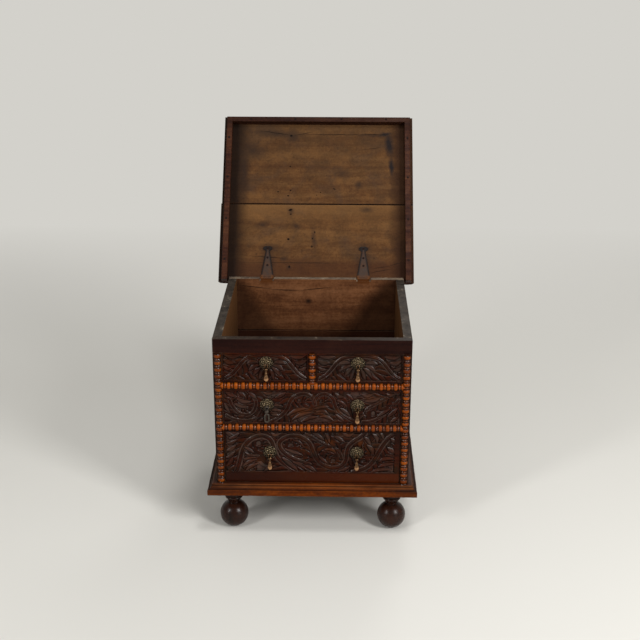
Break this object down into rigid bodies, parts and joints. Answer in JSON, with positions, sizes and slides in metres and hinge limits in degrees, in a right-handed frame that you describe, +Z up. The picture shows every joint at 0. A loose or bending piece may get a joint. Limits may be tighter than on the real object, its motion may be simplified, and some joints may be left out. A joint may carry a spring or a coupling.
{
  "type": "miniature chest with hinged lid",
  "caption": "Carved oak table chest on ball feet: a hinged lid over a deep compartment, false drawer fronts with split turnings, one real drawer and brass drop pulls.",
  "frame": {"origin": "Middle of the bounding box in plan, on the floor, with the lid open and the drawer shut.", "axes": "+Z is up, +X is to the right of a person facing the front, +Y is to the back, so the front faces -Y."},
  "size_m": [0.508, 0.738, 0.8641],
  "materials": {
    "case_oak": "dark oak boards with an old waxed surface, dry on the bare edges",
    "carved_oak": "dark oak carved in shallow relief, waxed, worn lighter on the high places",
    "inside_oak": "oak inside the box, unpolished, orange-brown and darkened in the corners",
    "lid_oak": "oak of the lid's underside, dry, mid brown with old nail holes and stains",
    "lip_oak": "red-brown waxed oak of the lid's applied edge",
    "bead_wood": "turned fruitwood split in half, orange-brown, waxed, dark in the grooves",
    "plinth_oak": "waxed oak moulding, orange-brown and worn",
    "foot_oak": "turned feet, dark red-brown, waxed",
    "drawer_lining_oak": "thin unpolished oak boards of the drawer's lining",
    "drop_brass": "cast brass, worn bright",
    "plate_brass": "pressed brass, tarnished olive brown",
    "hinge_iron": "wrought iron, dark, with some rust",
    "nail_iron": "wrought iron nails, dark"
  },
  "bodies": {
    "case": {"base_board": "inside_oak", "side_left_front_board": "case_oak", "side_left_rear_board": "case_oak", "side_right_front_board": "case_oak", "side_right_rear_board": "case_oak", "back_upper_board": "inside_oak", "back_lower_board": "inside_oak", "front_top_rail": "case_oak", "front_muntin": "case_oak", "front_middle_rail": "case_oak", "front_lower_rail": "case_oak", "top_panel_left": "carved_oak", "top_panel_right": "carved_oak", "middle_panel": "carved_oak", "compartment_floor": "inside_oak", "batten_left": "inside_oak", "batten_right": "inside_oak", "plinth_moulding_front": "plinth_oak", "plinth_moulding_left": "plinth_oak", "plinth_moulding_right": "plinth_oak", "bead_strip_upper": "bead_wood", "bead_strip_lower": "bead_wood", "bead_strip_left": "bead_wood", "bead_strip_right": "bead_wood", "bead_strip_muntin": "bead_wood", "foot_front_left": "foot_oak", "foot_front_right": "foot_oak", "foot_rear_left": "foot_oak", "foot_rear_right": "foot_oak", "hinge_leaf_left": "hinge_iron", "hinge_leaf_right": "hinge_iron", "hinge_pins": "hinge_iron", "case_pull_plates": "plate_brass", "case_pull_pins": "plate_brass", "case_nails": "nail_iron"},
    "drawer": {"drawer_front": "carved_oak", "drawer_side_left": "drawer_lining_oak", "drawer_side_right": "drawer_lining_oak", "drawer_back": "drawer_lining_oak", "drawer_bottom": "drawer_lining_oak", "drawer_pull_plates": "plate_brass", "drawer_pull_pins": "plate_brass", "drawer_nails": "nail_iron"},
    "lid": {"lid_front_board": "lid_oak", "lid_rear_board": "lid_oak", "lid_lip_front": "lip_oak", "lid_lip_left": "lip_oak", "lid_lip_right": "lip_oak", "hinge_strap_left": "hinge_iron", "hinge_strap_right": "hinge_iron", "lid_nails": "nail_iron"},
    "drop_top_left": {"drop_top_left": "drop_brass"},
    "drop_top_right": {"drop_top_right": "drop_brass"},
    "drop_middle_left": {"drop_middle_left": "hinge_iron"},
    "drop_middle_right": {"drop_middle_right": "drop_brass"},
    "drop_drawer_left": {"drop_drawer_left": "drop_brass"},
    "drop_drawer_right": {"drop_drawer_right": "drop_brass"}
  },
  "joints": [
    {"name": "lid_hinge", "type": "hinge", "parent": "case", "child": "lid", "pos_m": [0, 0.08131, 0.4961], "axis": [1, 0, 0], "range_deg": [0, 127]},
    {"name": "drawer_slide", "type": "slide", "parent": "case", "child": "drawer", "axis": [0, -1, 0], "range_m": [0, 0.3]},
    {"name": "drop_top_left_swing", "type": "hinge", "parent": "case", "child": "drop_top_left", "pos_m": [-0.10393, -0.35629, 0.44192], "axis": [-1, 0, 0], "range_deg": [0, 90]},
    {"name": "drop_top_right_swing", "type": "hinge", "parent": "case", "child": "drop_top_right", "pos_m": [0.10353, -0.35629, 0.44192], "axis": [-1, 0, 0], "range_deg": [0, 90]},
    {"name": "drop_middle_left_swing", "type": "hinge", "parent": "case", "child": "drop_middle_left", "pos_m": [-0.10393, -0.35629, 0.3369], "axis": [-1, 0, 0], "range_deg": [0, 90]},
    {"name": "drop_middle_right_swing", "type": "hinge", "parent": "case", "child": "drop_middle_right", "pos_m": [0.10353, -0.35629, 0.3369], "axis": [-1, 0, 0], "range_deg": [0, 90]},
    {"name": "drop_drawer_left_swing", "type": "hinge", "parent": "drawer", "child": "drop_drawer_left", "pos_m": [-0.0986, -0.35629, 0.21544], "axis": [-1, 0, 0], "range_deg": [0, 90]},
    {"name": "drop_drawer_right_swing", "type": "hinge", "parent": "drawer", "child": "drop_drawer_right", "pos_m": [0.10353, -0.35629, 0.21544], "axis": [-1, 0, 0], "range_deg": [0, 90]}
  ]
}
